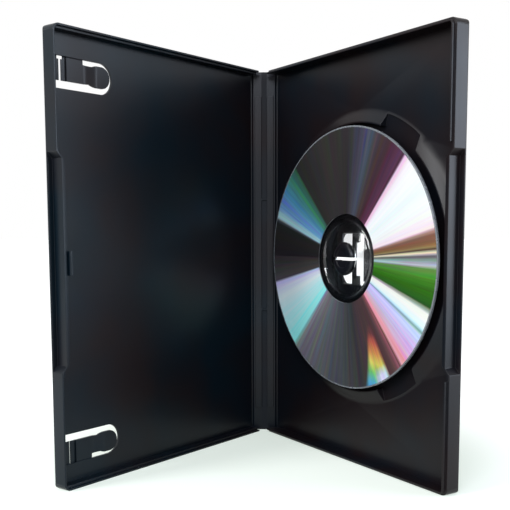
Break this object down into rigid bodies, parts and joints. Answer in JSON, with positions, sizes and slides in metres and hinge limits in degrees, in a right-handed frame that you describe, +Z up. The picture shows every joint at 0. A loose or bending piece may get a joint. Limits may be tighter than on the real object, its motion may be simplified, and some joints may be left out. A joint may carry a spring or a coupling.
{
  "type": "dvd case",
  "caption": "Black plastic keep case standing half open like a book, with living hinges, a press-to-release hub holding a silver disc, leaflet clips and a lipped rim.",
  "frame": {"origin": "centre of the spine's foot, the small flat end of the spine that the case stands on", "axes": "+Z up along the spine, -Y out of the open mouth of the case, +X towards the half that holds the disc"},
  "size_m": [0.1678, 0.1149, 0.19],
  "materials": {
    "black_plastic": "moulded polypropylene, satin black",
    "hinge_plastic": "thin moulded polypropylene, flexed smooth",
    "disc_silver": "metallised polycarbonate"
  },
  "bodies": {
    "spine_body": {"spine": "black_plastic", "hinge_web_front": "hinge_plastic", "hinge_web_tray": "hinge_plastic"},
    "cover_body": {"front_cover": "black_plastic"},
    "clip_upper_body": {"leaflet_clip_upper": "black_plastic"},
    "clip_lower_body": {"leaflet_clip_lower": "black_plastic"},
    "tray_body": {"disc_tray": "black_plastic", "disc": "disc_silver"},
    "jaw_upper_body": {"hub_jaw_upper": "black_plastic"},
    "jaw_lower_body": {"hub_jaw_lower": "black_plastic"}
  },
  "joints": [
    {"name": "cover_hinge", "type": "hinge", "parent": "spine_body", "child": "cover_body", "pos_m": [-0.00725, 0.0006, 0.095], "axis": [0, 0, -1], "range_deg": [-34.8, 55.2], "deforming": ["hinge_web_front"]},
    {"name": "tray_hinge", "type": "hinge", "parent": "spine_body", "child": "tray_body", "pos_m": [0.00725, 0.0006, 0.095], "axis": [0, 0, 1], "range_deg": [-34.8, 55.2], "deforming": ["hinge_web_tray"]},
    {"name": "upper_jaw_press", "type": "hinge", "parent": "tray_body", "child": "jaw_upper_body", "pos_m": [0.04131, -0.05927, 0.10715], "axis": [0.5707, -0.8211, 0], "range_deg": [0, 8], "stiffness_Nm_per_rad": 0.05},
    {"name": "lower_jaw_press", "type": "hinge", "parent": "tray_body", "child": "jaw_lower_body", "pos_m": [0.04131, -0.05927, 0.08285], "axis": [-0.5707, 0.8211, 0], "range_deg": [0, 8], "stiffness_Nm_per_rad": 0.05},
    {"name": "upper_clip_flex", "type": "hinge", "parent": "cover_body", "child": "clip_upper_body", "pos_m": [-0.0749, -0.09779, 0.17875], "axis": [-0.5707, -0.8211, 0], "range_deg": [0, 10], "stiffness_Nm_per_rad": 0.02},
    {"name": "lower_clip_flex", "type": "hinge", "parent": "cover_body", "child": "clip_lower_body", "pos_m": [-0.0749, -0.09779, 0.00945], "axis": [0.5707, 0.8211, 0], "range_deg": [0, 10], "stiffness_Nm_per_rad": 0.02}
  ],
  "couplings": [
    {"joint": "lower_jaw_press", "follows": "upper_jaw_press", "ratio": 1}
  ]
}
